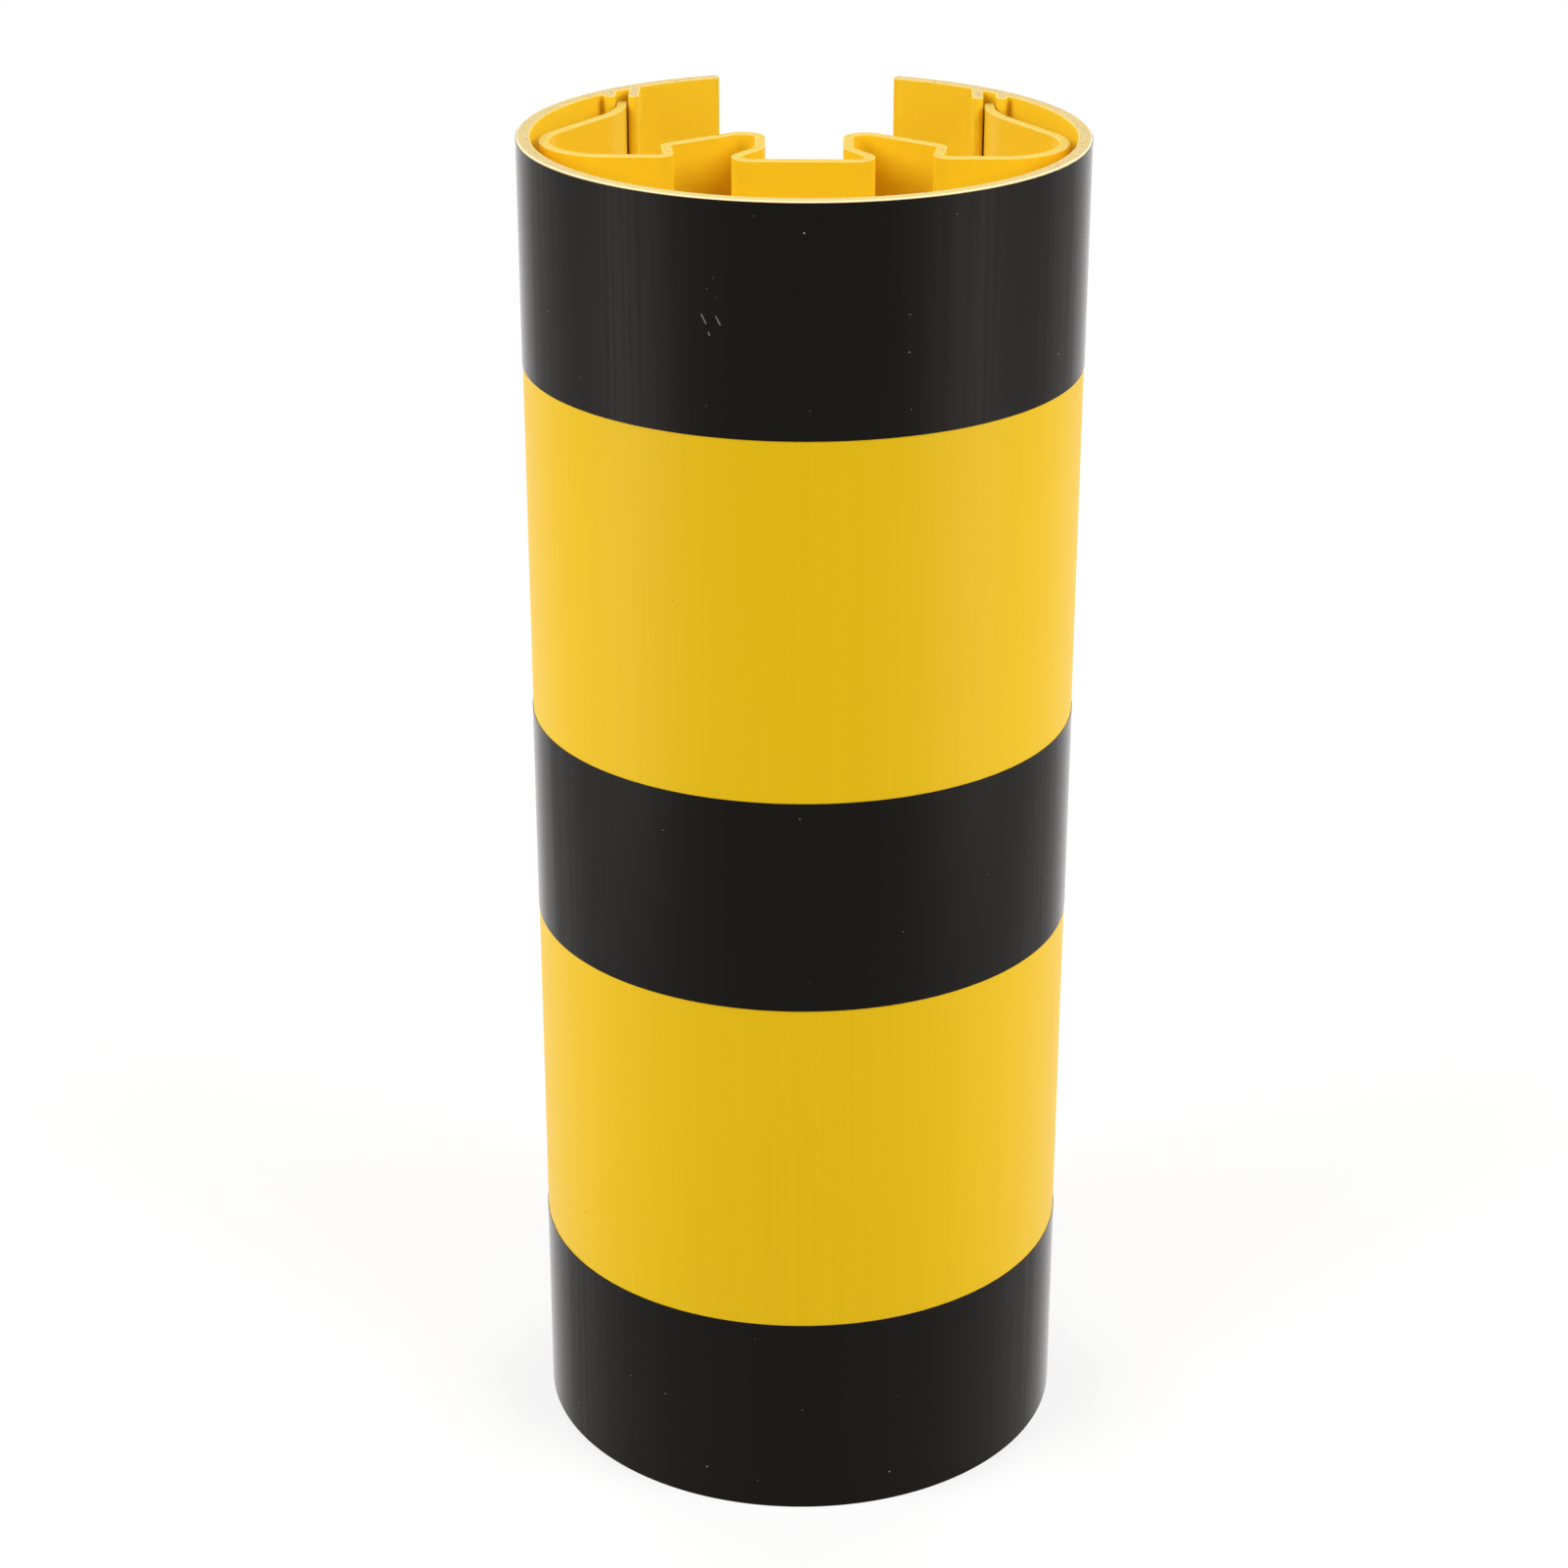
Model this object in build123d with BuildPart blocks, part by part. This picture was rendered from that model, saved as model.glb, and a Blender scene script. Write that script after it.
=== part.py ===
from build123d import *
from math import asin, cos, hypot, radians, sin, tan
import os

# Rack upright protector: a split plastic tube that clips round a rack upright, a wavy spring
# insert slid into two grooves inside it, and three black film bands round the outside.
# Millimetres, +Z up. The origin is on the tube's axis, on the plane that the tube stands on.
# The closed front faces -Y, and the mouth for the upright opens towards +Y.

# Outer shell
shell_height = 400.0
shell_outer_diameter = 158.9
shell_wall = 3.8
mouth_width = 51.6
mouth_edge_radius = 1.5

# Ribs inside the shell: each pair holds one edge of the insert in a groove
groove_angle = 44.6  # degrees from the middle of the mouth, seen from the tube's axis
groove_depth = 9.2
groove_clearance = 0.5  # each side of the insert's edge
rib_wall = 3.0
rib_tip_radius = 1.3
rib_root_radius = 0.7

# Spring insert: one strip of even wall, given by its centre line on the +X side
insert_wall = 2.8
insert_drop = 2.4  # top edge of the insert below the rim of the shell
insert_engagement = 4.5  # how far its edges reach into the grooves
panel_half_width = 22.3
panel_y = -23.5
panel_corner_radius = 4.5
neck_half_width = 12.2
neck_y = -9.0
neck_bend_radius = 10.0
nose_corner_y = 14.0
nose_radius = 5.0
shoulder_y = -5.1
shoulder_overhang = 1.7  # the shoulder leans this far over the step below it
shoulder_radius = 3.0
step_radius = 3.0
lobe_front_y = -18.9
lobe_front_run = 16.7  # straight run from the step to where the lobe begins
lobe_gap = 2.2  # between the lobe and the shell's inner wall
flank_bend = 8.1  # length of the bend's tangent where the flank turns into the groove

# Film bands
band_height = 64.0
film_thickness = 0.2
film_top_setback = 0.5  # bare edge between the film and the rim
film_mouth_setback = 0.2  # bare edge between the film and the rounded edge of the mouth

# Places that follow from the sizes above
outer_radius = shell_outer_diameter / 2
inner_radius = outer_radius - shell_wall
wall_middle_radius = inner_radius + shell_wall / 2
slot_width = insert_wall + 2 * groove_clearance
groove_x = inner_radius * sin(radians(groove_angle))
groove_floor_y = inner_radius * cos(radians(groove_angle))
rib_tip_y = groove_floor_y - groove_depth
rib_offset = slot_width / 2 + rib_wall / 2
match_tolerance = 0.01  # for finding corners by their place
edge_share = 0.45  # a rounded edge takes at most this share of its wall
root_share = 0.8  # a rounded rib root takes at most this share of the free face beside it

# The outermost rib root is the narrowest: its rounding has to end before that of the rib's tip begins
tip_radius = min(rib_tip_radius, edge_share * rib_wall)
outer_root_angle = asin((groove_x + rib_offset + rib_wall / 2) / inner_radius)
outer_face_length = inner_radius * cos(outer_root_angle) - rib_tip_y - tip_radius
widest_root_radius = root_share * outer_face_length * tan((radians(90) - outer_root_angle) / 2)

os.makedirs("parts", exist_ok=True)


# Outer shell: a ring with two pairs of ribs that end in its wall, cut open by a parallel mouth
rib_centres = []
for side in (-1, 1):
    for rib_side in (-1, 1):
        rib_centres.append((side * groove_x + rib_side * rib_offset, rib_tip_y + outer_radius / 2))

with BuildSketch() as groove_ribs:
    with Locations(*rib_centres):
        Rectangle(rib_wall, outer_radius)
    Circle(wall_middle_radius, mode=Mode.INTERSECT)


def is_rib_tip(corner):
    return abs(corner.Y - rib_tip_y) < match_tolerance


def is_rib_root(corner):
    on_inner_wall = abs(hypot(corner.X, corner.Y) - inner_radius) < match_tolerance
    return on_inner_wall and corner.Y > rib_tip_y


def is_mouth_corner(corner):
    return abs(abs(corner.X) - mouth_width / 2) < match_tolerance


with BuildPart() as outer_shell:
    with BuildSketch() as shell_section:
        Circle(outer_radius)
        Circle(inner_radius, mode=Mode.SUBTRACT)
        add(groove_ribs.sketch)
        rib_tips = shell_section.vertices().filter_by(is_rib_tip)
        fillet(rib_tips, tip_radius)
        rib_roots = shell_section.vertices().filter_by(is_rib_root)
        fillet(rib_roots, min(rib_root_radius, widest_root_radius))
        with Locations((0, outer_radius / 2)):
            Rectangle(mouth_width, outer_radius, mode=Mode.SUBTRACT)
        mouth_corners = shell_section.vertices().filter_by(is_mouth_corner)
        fillet(mouth_corners, min(mouth_edge_radius, edge_share * shell_wall))
    extrude(amount=shell_height)
outer_shell.part.label = "outer_shell"
export_step(outer_shell.part, "parts/outer_shell.step")


# Spring insert: the lobe is an arc centred below the groove, and the flank is its tangent
lobe_radius = inner_radius - lobe_gap - insert_wall / 2 - groove_x
lobe_centre_y = lobe_front_y + lobe_radius
flank_corner_y = rib_tip_y - flank_bend
flank_turn = asin(lobe_radius / (flank_corner_y - lobe_centre_y))
flank_radius = flank_bend / tan(flank_turn / 2)
step_x = groove_x - lobe_front_run
edge_y = rib_tip_y + insert_engagement - insert_wall / 2

lobe_start = (groove_x, lobe_front_y)
lobe_side = (groove_x + lobe_radius, lobe_centre_y)
lobe_end = (groove_x + lobe_radius * cos(flank_turn), lobe_centre_y + lobe_radius * sin(flank_turn))

with BuildPart() as spring_insert:
    with BuildSketch() as insert_section:
        with BuildLine() as insert_line:
            FilletPolyline(
                (0, panel_y),
                (panel_half_width, panel_y),
                (neck_half_width, neck_y),
                (neck_half_width, nose_corner_y),
                (step_x + shoulder_overhang, shoulder_y),
                (step_x, lobe_front_y),
                lobe_start,
                radius=[panel_corner_radius, neck_bend_radius, nose_radius, shoulder_radius, step_radius],
            )
            ThreePointArc(lobe_start, lobe_side, lobe_end)
            FilletPolyline(
                lobe_end,
                (groove_x, flank_corner_y),
                (groove_x, edge_y),
                radius=flank_radius,
            )
            mirror(about=Plane.YZ)
            offset(amount=insert_wall / 2, side=Side.BOTH)
        make_face()
    extrude(amount=shell_height - insert_drop)
spring_insert.part.label = "spring_insert"
export_step(spring_insert.part, "parts/spring_insert.step")


# Film bands: each runs round the shell from one edge of the mouth to the other
def wrap_band(base_z, top_z):
    bare_width = mouth_width + 2 * (mouth_edge_radius + film_mouth_setback)
    with BuildPart() as band:
        with BuildSketch(Plane.XY.offset(base_z)):
            Circle(outer_radius + film_thickness)
            Circle(outer_radius, mode=Mode.SUBTRACT)
            with Locations((0, outer_radius)):
                Rectangle(bare_width, shell_outer_diameter, mode=Mode.SUBTRACT)
        extrude(amount=top_z - base_z)
    return band.part


middle_base_z = (shell_height - band_height) / 2
band_spans = {
    "bottom_black_band": (0, band_height),
    "middle_black_band": (middle_base_z, middle_base_z + band_height),
    "top_black_band": (shell_height - band_height, shell_height - film_top_setback),
}
for band_name, (base_z, top_z) in band_spans.items():
    black_band = wrap_band(base_z, top_z)
    black_band.label = band_name
    export_step(black_band, f"parts/{band_name}.step")
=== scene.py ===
from math import acos, asin, ceil, cos, radians, sin, sqrt, tan

import bpy
from mathutils import Matrix, Vector


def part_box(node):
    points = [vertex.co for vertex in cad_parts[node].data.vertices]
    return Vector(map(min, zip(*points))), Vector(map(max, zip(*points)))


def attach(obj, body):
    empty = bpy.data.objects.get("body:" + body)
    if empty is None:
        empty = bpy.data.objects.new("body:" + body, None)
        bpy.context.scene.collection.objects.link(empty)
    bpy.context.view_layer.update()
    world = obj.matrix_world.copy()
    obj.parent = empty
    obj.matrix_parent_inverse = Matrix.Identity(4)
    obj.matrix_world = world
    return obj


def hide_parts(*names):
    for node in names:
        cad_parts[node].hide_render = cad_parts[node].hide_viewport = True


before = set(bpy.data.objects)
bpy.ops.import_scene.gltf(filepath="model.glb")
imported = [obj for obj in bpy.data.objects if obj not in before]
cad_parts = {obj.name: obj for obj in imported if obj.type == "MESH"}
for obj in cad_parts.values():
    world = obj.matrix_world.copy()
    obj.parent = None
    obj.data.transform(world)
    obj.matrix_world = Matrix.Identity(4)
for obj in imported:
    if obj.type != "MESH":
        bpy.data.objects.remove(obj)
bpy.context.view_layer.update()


# Outer shell: one length of extruded rigid PVC, a round tube that is open along its rear.
# Four ribs inside, from the same die, form a groove at each side for an edge of the insert.
# It is sawn to length, so both ends are paler and rougher than its walls.
mm = 0.001  # in metres, the unit of every length here
shell_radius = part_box("outer_shell")[1].x
shell_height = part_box("outer_shell")[1].z
shell_wall = 3.8 * mm
mouth_half_width = 25.8 * mm
mouth_edge_radius = 1.5 * mm
insert_wall = 2.8 * mm
groove_angle = radians(44.6)  # from the middle of the mouth, seen from the tube's axis
groove_clearance = 0.5 * mm
groove_depth = 9.2 * mm
rib_wall = 3.0 * mm
rib_tip_radius = 1.3 * mm
rib_root_radius = 0.7 * mm
sawn_edge_radius = 0.5 * mm
arc_fineness = 0.004 * mm  # how far a facet may lie inside its arc

bore_radius = shell_radius - shell_wall
groove_x = bore_radius * sin(groove_angle)
rib_tip_y = bore_radius * cos(groove_angle) - groove_depth
groove_half_width = insert_wall / 2 + groove_clearance
tube_axis = Vector((0, 0))


def put_pen_down(name, place):
    """Starts a drawn line: a new piece of one vertex, open in edit mode."""
    bpy.ops.object.select_all(action="DESELECT")
    bpy.ops.mesh.primitive_plane_add(size=mm)
    piece = bpy.context.object
    piece.name = name
    piece.data.name = name
    bpy.ops.object.mode_set(mode="EDIT")
    bpy.ops.mesh.select_all(action="SELECT")
    bpy.ops.mesh.merge(type="CENTER")
    bpy.ops.transform.translate(value=place.to_3d())
    return piece


def run_to(pen, end):
    """Draws a straight line and gives the pen's new place."""
    bpy.ops.mesh.extrude_region_move(TRANSFORM_OT_translate={"value": (end - pen).to_3d()})
    return end


def swing_to(pen, centre, end):
    """Draws an arc round centre, the shorter way, and gives the pen's new place."""
    turn = (pen - centre).angle_signed(end - centre)
    facet_turn = 2 * acos(1 - arc_fineness / (pen - centre).length)
    bpy.ops.mesh.spin(
        steps=ceil(abs(turn) / facet_turn), angle=turn, center=centre.to_3d(), axis=(0, 0, 1)
    )
    return end


def apply_modifier(piece, kind, **settings):
    """Adds a modifier to the active piece, with these settings, and applies it."""
    modifier = piece.modifiers.new(kind.title(), kind)
    for setting, value in settings.items():
        setattr(modifier, setting, value)
    bpy.ops.object.modifier_apply(modifier=modifier.name)


def mirror_half(piece):
    """Completes a line that was drawn for the +X half."""
    bpy.ops.object.mode_set(mode="OBJECT")
    apply_modifier(piece, "MIRROR", merge_threshold=arc_fineness)


def pull_up(base_z, top_z, is_solid):
    """Lifts the drawn line to base_z and extrudes it to top_z, with its inside filled if it is solid."""
    bpy.ops.object.mode_set(mode="EDIT")
    bpy.ops.mesh.select_all(action="SELECT")
    bpy.ops.transform.translate(value=(0, 0, base_z))
    if is_solid:
        bpy.ops.mesh.edge_face_add()
    bpy.ops.mesh.extrude_region_move(TRANSFORM_OT_translate={"value": (0, 0, top_z - base_z)})
    bpy.ops.mesh.select_all(action="SELECT")
    bpy.ops.mesh.normals_make_consistent(inside=False)
    bpy.ops.object.mode_set(mode="OBJECT")


def break_edges(piece, radius):
    """Rounds the sharp edges a little, as handling does, and smooths the shading of the walls."""
    bpy.ops.object.shade_smooth_by_angle(angle=radians(40))
    apply_modifier(
        piece, "BEVEL", width=radius, segments=3, limit_method="ANGLE", angle_limit=radians(60),
        harden_normals=True,
    )


def edge_rounding(circle_radius, side_x, radius, across, outward):
    """Gives where a rounded edge meets a circle round the axis, its centre, and where it meets a side face.

    across is +1 or -1 for the side of the face that the centre lies on, and outward is +1 or -1
    for a centre outside or inside the circle.
    """
    reach = circle_radius + outward * radius
    centre_x = side_x + across * radius
    centre = Vector((centre_x, sqrt(reach**2 - centre_x**2)))
    return centre * circle_radius / reach, centre, Vector((side_x, centre.y))


front_outside = Vector((0, -shell_radius))
front_inside = Vector((0, -bore_radius))
shell = put_pen_down("extruded_shell", front_outside)

outer_start, outer_centre, outer_end = edge_rounding(
    shell_radius, mouth_half_width, mouth_edge_radius, across=1, outward=-1
)
inner_end, inner_centre, inner_start = edge_rounding(
    bore_radius, mouth_half_width, mouth_edge_radius, across=1, outward=1
)
pen = swing_to(front_outside, tube_axis, outer_start)
pen = swing_to(pen, outer_centre, outer_end)
pen = run_to(pen, inner_start)
pen = swing_to(pen, inner_centre, inner_end)

# The ribs on both sides of the groove, the one nearer to the mouth first
for near_x in (groove_x - groove_half_width - rib_wall, groove_x + groove_half_width):
    far_x = near_x + rib_wall
    near_start, near_centre, near_end = edge_rounding(
        bore_radius, near_x, rib_root_radius, across=-1, outward=-1
    )
    far_end, far_centre, far_start = edge_rounding(
        bore_radius, far_x, rib_root_radius, across=1, outward=-1
    )
    tip_top_y = rib_tip_y + rib_tip_radius
    near_tip_centre = Vector((near_x + rib_tip_radius, tip_top_y))
    far_tip_centre = Vector((far_x - rib_tip_radius, tip_top_y))
    pen = swing_to(pen, tube_axis, near_start)
    pen = swing_to(pen, near_centre, near_end)
    pen = run_to(pen, Vector((near_x, tip_top_y)))
    pen = swing_to(pen, near_tip_centre, Vector((near_tip_centre.x, rib_tip_y)))
    pen = run_to(pen, Vector((far_tip_centre.x, rib_tip_y)))
    pen = swing_to(pen, far_tip_centre, Vector((far_x, tip_top_y)))
    pen = run_to(pen, far_start)
    pen = swing_to(pen, far_centre, far_end)
swing_to(pen, tube_axis, front_inside)

mirror_half(shell)
pull_up(0, shell_height, is_solid=True)
break_edges(shell, sawn_edge_radius)


def from_hex(code):
    """Gives the linear colour of an sRGB hex value."""
    shares = [int(code[place:place + 2], 16) / 255 for place in (1, 3, 5)]
    return [s / 12.92 if s <= 0.04045 else ((s + 0.055) / 1.055) ** 2.4 for s in shares] + [1]


def add_node(material, kind, inputs, **settings):
    """Adds a node with these settings, and gives each input a value or another node's output.

    A Mix node's sockets go by number: input 0 is the share, inputs 2 and 3 are the numbers that it mixes
    into output 0, and inputs 6 and 7 the colours that it mixes into output 2.
    """
    tree = material.node_tree
    node = tree.nodes.new(kind)
    for setting, value in settings.items():
        setattr(node, setting, value)
    for socket, value in inputs.items():
        if isinstance(value, bpy.types.NodeSocket):
            tree.links.new(value, node.inputs[socket])
        else:
            node.inputs[socket].default_value = value
    return node


def sawn_extrusion(name, height, edge_radius, wall_dark, wall_light, sawn_dark, sawn_light, pit_share):
    """Rigid PVC in safety yellow. The die leaves faint streaks along the walls, and the inside is painted a
    shade lighter than the outside, as painted light for the inside of the tube. The saw leaves dull, pale
    ends with small pits, painted dark as their shade, and towards the front the ends turn one even,
    yellower tone. The scraped edges round the ends are the palest, partly from scraping and partly a
    painted highlight, which is palest on the outside. A few dark grains lie in the compound.

    wall_dark and wall_light are the tones of the inside, painted lighter than the outside's, sawn_dark and
    sawn_light those of the ends, and pit_share is the share of the places for a pit that have one.
    """
    streak_width = 0.9 * mm
    streak_length = 150 * mm
    streak_spread = 0.3  # how far the noise strays from its middle, 0.5
    streak_depth = 0.03 * mm
    cloud_width = 45 * mm
    cloud_share = 0.35  # of the tone that comes from wide clouds, and the rest from the streaks
    # The inside is painted a shade lighter than the outside: painted light for the inside of the tube
    outside_radius = shell_radius - shell_wall / 2  # what lies further out is the outside
    outside_dark = from_hex("#E2B611")
    outside_light = from_hex("#E8BD16")
    grain_spacing = 22 * mm
    grain_radius = 0.22 * mm
    grain_colour = from_hex("#5A4312")
    mottle_width = 1.1 * mm
    mottle_spread = 0.15
    even_front_start_y = -0.5 * shell_radius
    even_front_full_y = -0.9 * shell_radius
    even_front_colour = from_hex("#D0BE6E")
    pit_spacing = 2.0 * mm
    pit_radius = 0.4 * mm
    pit_shade_colour = from_hex("#5E481E")
    # The scraped edges round the ends are painted pale: partly scraped, partly a painted highlight
    cut_depth = 0.04 * mm  # what lies this near to the end's plane is sawn, and what lies deeper is scraped
    scraped_highlight_fade = 0.6 * edge_radius  # from this depth on, the scraped colour fades into the wall's
    scraped_highlight_inside = from_hex("#EED070")
    scraped_highlight_outside = from_hex("#F6EBC8")
    glossy_streak = 0.36  # roughness
    dull_streak = 0.48
    sawn_roughness = 0.7

    material = bpy.data.materials.new(name)
    material.use_nodes = True
    shader = material.node_tree.nodes["Principled BSDF"]
    place = add_node(material, "ShaderNodeTexCoord", {}).outputs["Object"]

    # Walls: streaks and clouds give the tone, and the inside is painted lighter than the outside, as
    # painted light
    along_walls = add_node(
        material, "ShaderNodeMapping",
        {"Vector": place, "Scale": (1 / streak_width, 1 / streak_width, 1 / streak_length)},
    )
    streaks = add_node(
        material, "ShaderNodeTexNoise", {"Vector": along_walls.outputs[0], "Scale": 1, "Detail": 3}
    )
    streak_share = add_node(
        material, "ShaderNodeMapRange",
        {"Value": streaks.outputs[0], "From Min": 0.5 - streak_spread, "From Max": 0.5 + streak_spread},
    )
    clouds = add_node(
        material, "ShaderNodeTexNoise", {"Vector": place, "Scale": 1 / cloud_width, "Detail": 2}
    )
    tone = add_node(
        material, "ShaderNodeMix", {0: cloud_share, 2: streak_share.outputs[0], 3: clouds.outputs[0]}
    )
    flat_place = add_node(
        material, "ShaderNodeVectorMath", {0: place, 1: (1, 1, 0)}, operation="MULTIPLY"
    )
    from_axis = add_node(material, "ShaderNodeVectorMath", {0: flat_place.outputs[0]}, operation="LENGTH")
    is_outside = add_node(
        material, "ShaderNodeMath", {0: from_axis.outputs["Value"], 1: outside_radius},
        operation="GREATER_THAN",
    )
    inner_colour = add_node(
        material, "ShaderNodeMix",
        {0: tone.outputs[0], 6: from_hex(wall_dark), 7: from_hex(wall_light)}, data_type="RGBA",
    )
    outer_colour = add_node(
        material, "ShaderNodeMix", {0: tone.outputs[0], 6: outside_dark, 7: outside_light}, data_type="RGBA"
    )
    wall_colour = add_node(
        material, "ShaderNodeMix",
        {0: is_outside.outputs[0], 6: inner_colour.outputs[2], 7: outer_colour.outputs[2]},
        data_type="RGBA",
    )

    # Dark grains in the compound
    grains = add_node(
        material, "ShaderNodeTexVoronoi", {"Vector": place, "Scale": 1 / grain_spacing}
    )
    is_grain = add_node(
        material, "ShaderNodeMath", {0: grains.outputs["Distance"], 1: grain_radius / grain_spacing},
        operation="LESS_THAN",
    )
    grained = add_node(
        material, "ShaderNodeMix",
        {0: is_grain.outputs[0], 6: wall_colour.outputs[2], 7: grain_colour}, data_type="RGBA",
    )

    # Sawn ends: mottled, one even, yellower tone towards the front, and small pits painted dark as their
    # shade
    mottle = add_node(
        material, "ShaderNodeTexNoise", {"Vector": place, "Scale": 1 / mottle_width, "Detail": 3}
    )
    mottle_share = add_node(
        material, "ShaderNodeMapRange",
        {"Value": mottle.outputs[0], "From Min": 0.5 - mottle_spread, "From Max": 0.5 + mottle_spread},
    )
    mottled = add_node(
        material, "ShaderNodeMix",
        {0: mottle_share.outputs[0], 6: from_hex(sawn_dark), 7: from_hex(sawn_light)}, data_type="RGBA",
    )
    axes = add_node(material, "ShaderNodeSeparateXYZ", {0: place})
    # Towards the front the ends turn one even, yellower tone
    even_front_share = add_node(
        material, "ShaderNodeMapRange",
        {"Value": axes.outputs["Y"], "From Min": even_front_start_y, "From Max": even_front_full_y},
    )
    sawn_colour = add_node(
        material, "ShaderNodeMix",
        {0: even_front_share.outputs[0], 6: mottled.outputs[2], 7: even_front_colour}, data_type="RGBA",
    )
    # Small pits, painted dark as their shade
    pits = add_node(material, "ShaderNodeTexVoronoi", {"Vector": place, "Scale": 1 / pit_spacing})
    pit_luck = add_node(material, "ShaderNodeSeparateColor", {0: pits.outputs["Color"]})
    pit_size = add_node(
        material, "ShaderNodeMapRange",
        {"Value": pit_luck.outputs[0], "From Min": 1 - pit_share, "To Max": pit_radius / pit_spacing},
    )
    is_pit = add_node(
        material, "ShaderNodeMath", {0: pits.outputs["Distance"], 1: pit_size.outputs[0]},
        operation="LESS_THAN",
    )
    pit_shaded = add_node(
        material, "ShaderNodeMix",
        {0: is_pit.outputs[0], 6: sawn_colour.outputs[2], 7: pit_shade_colour}, data_type="RGBA",
    )

    # From either end inwards: sawn, then the scraped edge with its painted highlight, then wall
    from_middle = add_node(
        material, "ShaderNodeMath", {0: axes.outputs["Z"], 1: height / 2}, operation="SUBTRACT"
    )
    to_middle = add_node(material, "ShaderNodeMath", {0: from_middle.outputs[0]}, operation="ABSOLUTE")
    depth = add_node(
        material, "ShaderNodeMath", {0: height / 2, 1: to_middle.outputs[0]}, operation="SUBTRACT"
    )
    wall_share = add_node(
        material, "ShaderNodeMapRange",
        {"Value": depth.outputs[0], "From Min": scraped_highlight_fade, "From Max": edge_radius},
    )
    is_scraped_highlight = add_node(
        material, "ShaderNodeMath", {0: depth.outputs[0], 1: cut_depth}, operation="GREATER_THAN"
    )
    scraped_highlight_colour = add_node(
        material, "ShaderNodeMix",
        {0: is_outside.outputs[0], 6: scraped_highlight_inside, 7: scraped_highlight_outside}, data_type="RGBA",
    )
    end_colour = add_node(
        material, "ShaderNodeMix",
        {0: is_scraped_highlight.outputs[0], 6: pit_shaded.outputs[2], 7: scraped_highlight_colour.outputs[2]}, data_type="RGBA",
    )
    colour = add_node(
        material, "ShaderNodeMix",
        {0: wall_share.outputs[0], 6: end_colour.outputs[2], 7: grained.outputs[2]}, data_type="RGBA",
    )
    material.node_tree.links.new(colour.outputs[2], shader.inputs["Base Color"])

    wall_roughness = add_node(
        material, "ShaderNodeMapRange",
        {"Value": streak_share.outputs[0], "To Min": glossy_streak, "To Max": dull_streak},
    )
    roughness = add_node(
        material, "ShaderNodeMix",
        {0: wall_share.outputs[0], 2: sawn_roughness, 3: wall_roughness.outputs[0]},
    )
    material.node_tree.links.new(roughness.outputs[0], shader.inputs["Roughness"])

    bump = add_node(
        material, "ShaderNodeBump",
        {"Strength": 0.12, "Distance": streak_depth, "Height": streaks.outputs[0]},
    )
    material.node_tree.links.new(bump.outputs[0], shader.inputs["Normal"])
    shader.inputs["Specular IOR Level"].default_value = 0.3
    shader.inputs["Specular Tint"].default_value = from_hex("#9C9C9C")
    return material


# The shell's inside tones are lighter than its outside's: painted light for the inside of the tube
shell_pvc = sawn_extrusion(
    "extruded_pvc_shell", shell_height, sawn_edge_radius,
    wall_dark="#F3C926", wall_light="#F6CC2A", sawn_dark="#C4A968", sawn_light="#D1BC82", pit_share=0.5,
)
shell.data.materials.append(shell_pvc)
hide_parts("outer_shell")
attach(shell, "shell")


# Spring insert: a thinner strip of PVC, extruded in its wavy shape and sawn a little shorter. Its walls
# are painted a shade deeper than the shell's inside, as painted shade for its faces within the tube.
# Its two edges slide into the grooves from above, and nothing else holds it.
# The two noses press on the upright, and the lobes at the sides take up a blow.
insert_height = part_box("spring_insert")[1].z
insert_engagement = 4.5 * mm  # how far its edges reach into the grooves
panel_half_width = 22.3 * mm
panel_y = -23.5 * mm
panel_corner_radius = 4.5 * mm
neck_half_width = 12.2 * mm
neck_y = -9.0 * mm
neck_bend_radius = 10.0 * mm
nose_corner_y = 14.0 * mm
nose_radius = 5.0 * mm
shoulder_y = -5.1 * mm
shoulder_overhang = 1.7 * mm  # the shoulder leans this far over the step below it
shoulder_radius = 3.0 * mm
step_radius = 3.0 * mm
lobe_front_y = -18.9 * mm
lobe_front_run = 16.7 * mm  # straight run from the step to where the lobe begins
lobe_gap = 2.2 * mm  # between the lobe and the shell's inner wall
flank_bend = 8.1 * mm  # length of the bend's tangent where the flank turns into the groove
insert_edge_radius = 0.4 * mm


def round_corner(pen, corner, beyond, radius):
    """Draws up to a corner and round it, to where the way to the next corner begins."""
    back = (pen - corner).normalized()
    onward = (beyond - corner).normalized()
    half_angle = back.angle(onward) / 2
    set_back = radius / tan(half_angle)
    centre = corner + (back + onward).normalized() * radius / sin(half_angle)
    pen = run_to(pen, corner + back * set_back)
    return swing_to(pen, centre, corner + onward * set_back)


lobe_radius = bore_radius - lobe_gap - insert_wall / 2 - groove_x
lobe_centre = Vector((groove_x, lobe_front_y + lobe_radius))
flank_corner = Vector((groove_x, rib_tip_y - flank_bend))
flank_turn = asin(lobe_radius / (flank_corner.y - lobe_centre.y))
lobe_end = lobe_centre + lobe_radius * Vector((cos(flank_turn), sin(flank_turn)))
insert_end = Vector((groove_x, rib_tip_y + insert_engagement))
step_x = groove_x - lobe_front_run

# Corners of the strip's middle line from the front panel to the lobe, each with the radius of its bend
wave_corners = [
    (Vector((panel_half_width, panel_y)), panel_corner_radius),
    (Vector((neck_half_width, neck_y)), neck_bend_radius),
    (Vector((neck_half_width, nose_corner_y)), nose_radius),
    (Vector((step_x + shoulder_overhang, shoulder_y)), shoulder_radius),
    (Vector((step_x, lobe_front_y)), step_radius),
]
lobe_start = Vector((groove_x, lobe_front_y))

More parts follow.
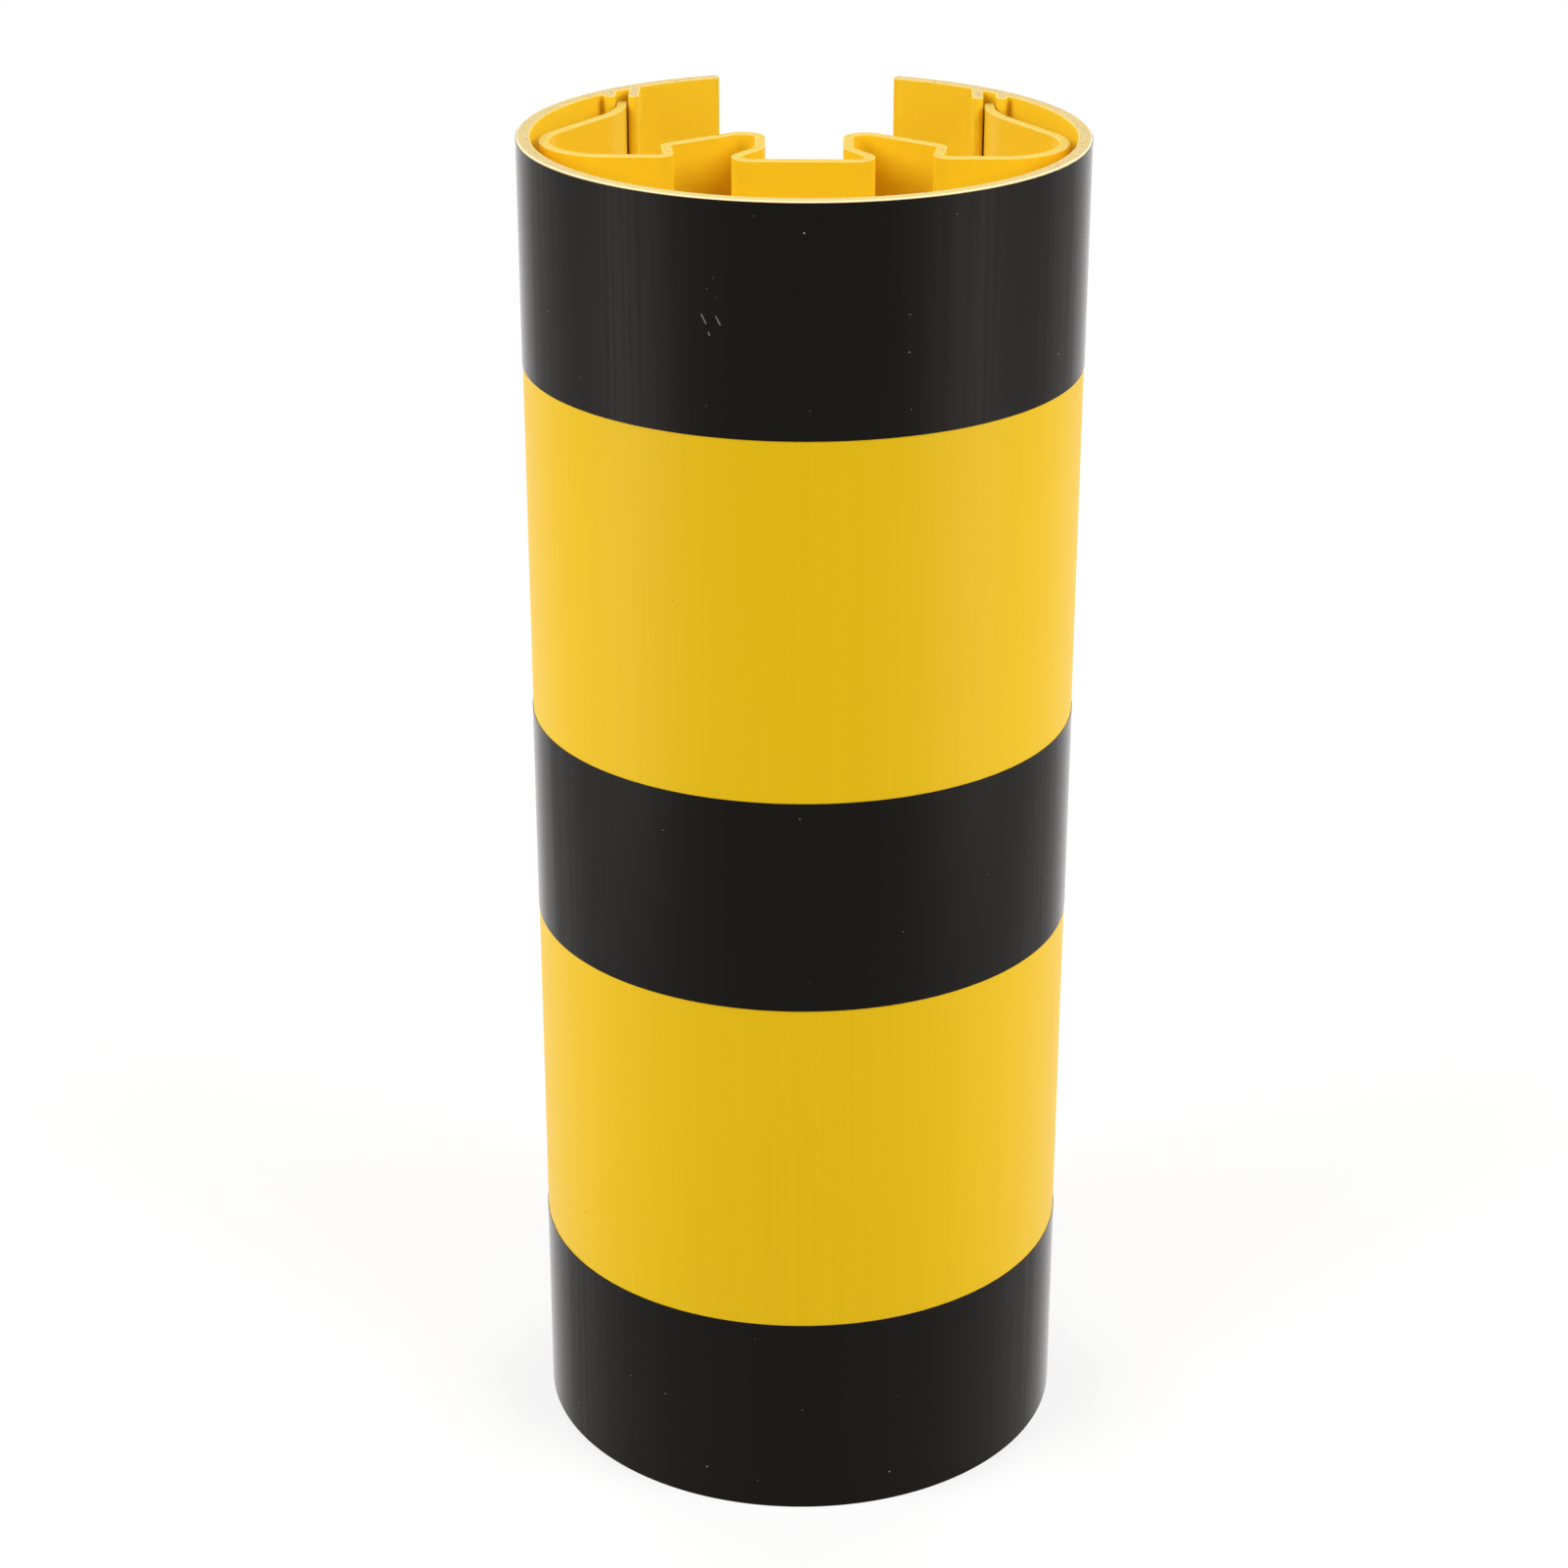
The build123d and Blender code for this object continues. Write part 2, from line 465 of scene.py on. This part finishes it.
panel_middle = Vector((0, panel_y))
insert = put_pen_down("wavy_insert", panel_middle)
pen = panel_middle
next_corners = [corner for corner, radius in wave_corners[1:]] + [lobe_start]
for (corner, radius), beyond in zip(wave_corners, next_corners):
    pen = round_corner(pen, corner, beyond, radius)
pen = run_to(pen, lobe_start)
pen = swing_to(pen, lobe_centre, lobe_end)
pen = round_corner(pen, flank_corner, insert_end, flank_bend / tan(flank_turn / 2))
run_to(pen, insert_end)

mirror_half(insert)
pull_up(0, insert_height, is_solid=False)
apply_modifier(insert, "SOLIDIFY", thickness=insert_wall, offset=0, use_even_offset=True)
break_edges(insert, insert_edge_radius)

# The insert's tones are a shade deeper than the shell's inside: painted shade for it within the tube
insert_pvc = sawn_extrusion(
    "extruded_pvc_insert", insert_height, insert_edge_radius,
    wall_dark="#F0C41F", wall_light="#F2C722", sawn_dark="#D2B244", sawn_light="#DABC50", pit_share=0.1,
)
insert.data.materials.append(insert_pvc)
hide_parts("spring_insert")
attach(insert, "insert")


# Film bands: three strips of self-adhesive black vinyl, wrapped round the shell by hand.
# Each begins and ends at an edge of the mouth, and the upper and lower ones are trimmed at the sawn ends.
film_bare_edge = 0.2 * mm  # left bare beside the rounded edge of the mouth
film_half_gap = mouth_half_width + mouth_edge_radius + film_bare_edge


def vinyl_film(name):
    """Satin black vinyl. It has a slight orange peel, and the streaks of the tube show through it. Seen
    along its face it gleams like a smooth film, because at a low angle its fine texture scatters little.
    It picks up dust and fine pale scratches, most of them where the front of the top band was knocked."""
    film_colour = from_hex("#0A0906")
    mark_colour = from_hex("#BDB9B1")
    peel_width = 1.3 * mm
    peel_depth = 0.05 * mm
    streak_width = 1.2 * mm
    streak_length = 150 * mm
    streak_spread = 0.2  # how far the noise strays from its middle, 0.5
    glossy_streak = 0.3  # roughness
    dull_streak = 0.46
    gleam_start = 0.66  # on the way from a look square to the film, 0, to one along it, 1
    gleam_full = 0.86
    gleam_roughness = 0.2  # the share of the film's roughness that is left there
    dust_spacing = 14 * mm
    dust_radius = 0.24 * mm
    dusty_share = 0.3  # of the places for a speck of dust that have one
    scratch_spacing = 4 * mm
    scratch_half_length = 1.7 * mm
    scratch_half_width = 0.07 * mm
    scratch_lean = radians(105)
    lean_spread = radians(30)
    knock_place = (22 * mm, 373 * mm, 0)  # to the left round the shell from its front, and up from its foot
    knock_radius = 11 * mm
    unscratched_share = 0.42  # of the places for a scratch in the middle of the knock

    material = bpy.data.materials.new(name)
    material.use_nodes = True
    shader = material.node_tree.nodes["Principled BSDF"]
    place = add_node(material, "ShaderNodeTexCoord", {}).outputs["Object"]

    # The film laid out flat, with its middle at the front of the shell
    from_front = add_node(
        material, "ShaderNodeMapping", {"Vector": place, "Rotation": (0, 0, radians(180))}
    )
    axes = add_node(material, "ShaderNodeSeparateXYZ", {0: from_front.outputs[0]})
    turn = add_node(
        material, "ShaderNodeMath", {0: axes.outputs["X"], 1: axes.outputs["Y"]}, operation="ARCTAN2"
    )
    arc = add_node(material, "ShaderNodeMath", {0: turn.outputs[0], 1: shell_radius}, operation="MULTIPLY")
    flat_place = add_node(material, "ShaderNodeCombineXYZ", {"X": arc.outputs[0], "Y": axes.outputs["Z"]})

    # Specks of dust
    dust = add_node(
        material, "ShaderNodeTexVoronoi", {"Vector": flat_place.outputs[0], "Scale": 1 / dust_spacing},
        voronoi_dimensions="2D",
    )
    dust_luck = add_node(material, "ShaderNodeSeparateColor", {0: dust.outputs["Color"]})
    dust_size = add_node(
        material, "ShaderNodeMapRange",
        {"Value": dust_luck.outputs[0], "From Min": 1 - dusty_share, "To Max": dust_radius / dust_spacing},
    )
    is_dust = add_node(
        material, "ShaderNodeMath", {0: dust.outputs["Distance"], 1: dust_size.outputs[0]},
        operation="LESS_THAN",
    )
    dust_share = add_node(
        material, "ShaderNodeMath", {0: is_dust.outputs[0], 1: dust_luck.outputs[1]}, operation="MULTIPLY"
    )

    # Scratches: the nearer to the knock, the more places have one
    from_knock = add_node(
        material, "ShaderNodeVectorMath", {0: flat_place.outputs[0], 1: knock_place}, operation="DISTANCE"
    )
    luck_needed = add_node(
        material, "ShaderNodeMapRange",
        {"Value": from_knock.outputs["Value"], "From Max": knock_radius, "To Min": unscratched_share},
    )
    cells = add_node(
        material, "ShaderNodeTexVoronoi", {"Vector": flat_place.outputs[0], "Scale": 1 / scratch_spacing},
        voronoi_dimensions="2D",
    )
    luck = add_node(material, "ShaderNodeSeparateColor", {0: cells.outputs["Color"]})
    offset = add_node(
        material, "ShaderNodeVectorMath", {0: flat_place.outputs[0], 1: cells.outputs["Position"]},
        operation="SUBTRACT",
    )
    lean = add_node(
        material, "ShaderNodeMath", {0: luck.outputs[0], 1: lean_spread, 2: scratch_lean},
        operation="MULTIPLY_ADD",
    )
    turned = add_node(
        material, "ShaderNodeVectorRotate", {"Vector": offset.outputs[0], "Angle": lean.outputs[0]},
        rotation_type="Z_AXIS",
    )
    span = add_node(material, "ShaderNodeVectorMath", {0: turned.outputs[0]}, operation="ABSOLUTE")
    reach = add_node(material, "ShaderNodeSeparateXYZ", {0: span.outputs[0]})
    length_here = add_node(
        material, "ShaderNodeMapRange",
        {"Value": luck.outputs[1], "From Min": luck_needed.outputs[0], "To Max": scratch_half_length},
    )
    in_length = add_node(
        material, "ShaderNodeMath", {0: reach.outputs["X"], 1: length_here.outputs[0]},
        operation="LESS_THAN",
    )
    in_width = add_node(
        material, "ShaderNodeMath", {0: reach.outputs["Y"], 1: scratch_half_width}, operation="LESS_THAN"
    )
    is_scratch = add_node(
        material, "ShaderNodeMath", {0: in_length.outputs[0], 1: in_width.outputs[0]}, operation="MULTIPLY"
    )
    mark_share = add_node(
        material, "ShaderNodeMath", {0: dust_share.outputs[0], 1: is_scratch.outputs[0]},
        operation="MAXIMUM",
    )
    colour = add_node(
        material, "ShaderNodeMix", {0: mark_share.outputs[0], 6: film_colour, 7: mark_colour},
        data_type="RGBA",
    )
    material.node_tree.links.new(colour.outputs[2], shader.inputs["Base Color"])

    # Gloss: streaks along the tube, and a smoother film where it is seen along its face
    along_tube = add_node(
        material, "ShaderNodeMapping",
        {"Vector": place, "Scale": (1 / streak_width, 1 / streak_width, 1 / streak_length)},
    )
    streaks = add_node(
        material, "ShaderNodeTexNoise", {"Vector": along_tube.outputs[0], "Scale": 1, "Detail": 3}
    )
    roughness = add_node(
        material, "ShaderNodeMapRange",
        {
            "Value": streaks.outputs[0], "From Min": 0.5 - streak_spread, "From Max": 0.5 + streak_spread,
            "To Min": glossy_streak, "To Max": dull_streak,
        },
    )
    facing = add_node(material, "ShaderNodeLayerWeight", {})
    rough_share = add_node(
        material, "ShaderNodeMapRange",
        {
            "Value": facing.outputs["Facing"], "From Min": gleam_start, "From Max": gleam_full,
            "To Min": 1, "To Max": gleam_roughness,
        },
    )
    seen_roughness = add_node(
        material, "ShaderNodeMath", {0: roughness.outputs[0], 1: rough_share.outputs[0]},
        operation="MULTIPLY",
    )
    material.node_tree.links.new(seen_roughness.outputs[0], shader.inputs["Roughness"])

    peel = add_node(material, "ShaderNodeTexNoise", {"Vector": place, "Scale": 1 / peel_width, "Detail": 1})
    bump = add_node(
        material, "ShaderNodeBump", {"Strength": 0.25, "Distance": peel_depth, "Height": peel.outputs[0]}
    )
    material.node_tree.links.new(bump.outputs[0], shader.inputs["Normal"])
    shader.inputs["Specular IOR Level"].default_value = 0.1
    shader.inputs["Specular Tint"].default_value = from_hex("#FFF0EA")
    shader.inputs["Sheen Weight"].default_value = 0.6
    shader.inputs["Sheen Roughness"].default_value = 0.2
    shader.inputs["Sheen Tint"].default_value = from_hex("#FFF0F2")
    return material


black_vinyl = vinyl_film("satin_black_vinyl")


def wrap_film(name, node):
    """Models one band in the place of its CAD node."""
    low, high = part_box(node)
    film_thickness = high.x - shell_radius
    middle_radius = shell_radius + film_thickness / 2
    front = Vector((0, -middle_radius))
    film_end = Vector((film_half_gap, sqrt(middle_radius**2 - film_half_gap**2)))
    film = put_pen_down(name, front)
    swing_to(front, tube_axis, film_end)
    mirror_half(film)
    pull_up(low.z, high.z, is_solid=False)
    apply_modifier(film, "SOLIDIFY", thickness=film_thickness, offset=0, use_even_offset=True)
    break_edges(film, film_thickness / 4)
    film.data.materials.append(black_vinyl)
    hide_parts(node)
    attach(film, "shell")


for level in ("bottom", "middle", "top"):
    wrap_film(f"{level}_film", f"{level}_black_band")


# Studio: a white floor in a white room, two large soft lights in front and two behind, all above the rim.
# The front ones stand well out to the sides, so their gleam falls on the sides of the bands and leaves
# the middle dark. A small soft light low at each side lifts the lower bands.
floor_size = 12.0
shadow_reach = 0.3  # metres from the object's axis, out to which the floor takes all of its shadow
white_reach = 1.6  # metres from the object's axis, from which on the floor is plain white
shadow_share = 0.25  # of the floor's white that comes from the lamps, and so is lost in the shadow
floor_light = 1.2  # that falls on the floor beside the object, with 1 for a white that is just not clipped
room_light = 0.15
large_softbox = 1.6  # metres square
small_softbox = 0.34
front_light_place = Vector((1.76, -1.1, 1.7))  # metres, of the light on the right
rear_light_place = Vector((1.2, 2.0, 1.6))
low_light_place = Vector((0.53, -0.215, 0.18))
front_power = 49  # watts
rear_power = 31
low_power = 1.0
white = from_hex("#FFFFFF")
object_middle = Vector((0, 0, shell_height / 2))

bpy.ops.object.select_all(action="DESELECT")
bpy.ops.mesh.primitive_plane_add(size=floor_size)
floor = bpy.context.object
floor.name = "floor"

floor_paint = bpy.data.materials.new("white_floor")
floor_paint.use_nodes = True
floor.data.materials.append(floor_paint)
floor_shader = floor_paint.node_tree.nodes["Principled BSDF"]
floor_shader.inputs["Roughness"].default_value = 0.9
floor_shader.inputs["Specular IOR Level"].default_value = 0
floor_shader.inputs["Emission Color"].default_value = white

world = bpy.data.worlds.new("white_room")
world.use_nodes = True
bpy.context.scene.world = world


def seen_or_mirrored(material):
    """Gives 1 for what the camera sees, also in a reflection or through glass, and 0 for other light."""
    path = add_node(material, "ShaderNodeLightPath", {})
    mirrored = add_node(
        material, "ShaderNodeMath",
        {0: path.outputs["Is Glossy Ray"], 1: path.outputs["Is Transmission Ray"]}, operation="MAXIMUM",
    )
    return add_node(
        material, "ShaderNodeMath", {0: path.outputs["Is Camera Ray"], 1: mirrored.outputs[0]},
        operation="MAXIMUM",
    )


floor_place = add_node(floor_paint, "ShaderNodeTexCoord", {}).outputs["Object"]
from_object = add_node(floor_paint, "ShaderNodeVectorMath", {0: floor_place}, operation="LENGTH")
lit_share = add_node(
    floor_paint, "ShaderNodeMapRange",
    {
        "Value": from_object.outputs["Value"], "From Min": shadow_reach, "From Max": white_reach,
        "To Min": shadow_share, "To Max": 0,
    },
    interpolation_type="SMOOTHSTEP",
)
floor_paint.node_tree.links.new(lit_share.outputs[0], floor_shader.inputs["Base Color"])
unlit_share = add_node(
    floor_paint, "ShaderNodeMath", {0: lit_share.outputs[0], 1: -floor_light, 2: 1},
    operation="MULTIPLY_ADD",
)
floor_glow = add_node(
    floor_paint, "ShaderNodeMath", {0: seen_or_mirrored(floor_paint).outputs[0], 1: unlit_share.outputs[0]},
    operation="MULTIPLY",
)
floor_paint.node_tree.links.new(floor_glow.outputs[0], floor_shader.inputs["Emission Strength"])

room = world.node_tree.nodes["Background"]
room.inputs["Color"].default_value = white
room_strength = add_node(
    world, "ShaderNodeMapRange", {"Value": seen_or_mirrored(world).outputs[0], "To Min": room_light}
)
world.node_tree.links.new(room_strength.outputs[0], room.inputs["Strength"])


def add_softboxes(name, right_place, size, power):
    """Hangs a square soft light at each side of the object, turned towards its middle."""
    for side in ("left", "right"):
        place = right_place.copy()
        if side == "left":
            place.x = -place.x
        bpy.ops.object.light_add(type="AREA", location=place)
        softbox = bpy.context.object
        softbox.name = f"{name}_{side}"
        softbox.rotation_euler = (object_middle - place).to_track_quat("-Z", "Y").to_euler()
        softbox.data.shape = "SQUARE"
        softbox.data.size = size
        softbox.data.energy = power


add_softboxes("front_light", front_light_place, large_softbox, front_power)
add_softboxes("rear_light", rear_light_place, large_softbox, rear_power)
add_softboxes("low_light", low_light_place, small_softbox, low_power)


# Camera: it stands in front, a little above the rim, and looks down at the object.
# Its place, tilt and lens come from the ellipses of the rim and of the bands in the photo.
photo_size = 1600  # pixels
sensor_width = 36  # millimetres on the camera's own sensor
focal_length = 3522  # pixels
optical_centre = Vector((818.3, 842.3))  # pixels from the left and from the top
camera_place = Vector((0, -948.9 * mm, 613.4 * mm))
camera_tilt = radians(65.96)
camera_roll = radians(0.18)
camera_turn = radians(0.5)  # round the object, from straight in front to the right

round_object = Matrix.Rotation(camera_turn, 3, "Z")
bpy.ops.object.camera_add(location=round_object @ camera_place)
camera = bpy.context.object
tilted = Matrix.Rotation(camera_tilt, 3, "X") @ Matrix.Rotation(camera_roll, 3, "Z")
camera.rotation_euler = (round_object @ tilted).to_euler()
camera.data.sensor_width = sensor_width
camera.data.lens = focal_length / photo_size * sensor_width
camera.data.shift_x = 0.5 - optical_centre.x / photo_size
camera.data.shift_y = optical_centre.y / photo_size - 0.5
bpy.context.scene.camera = camera
bpy.context.scene.view_settings.view_transform = "Standard"
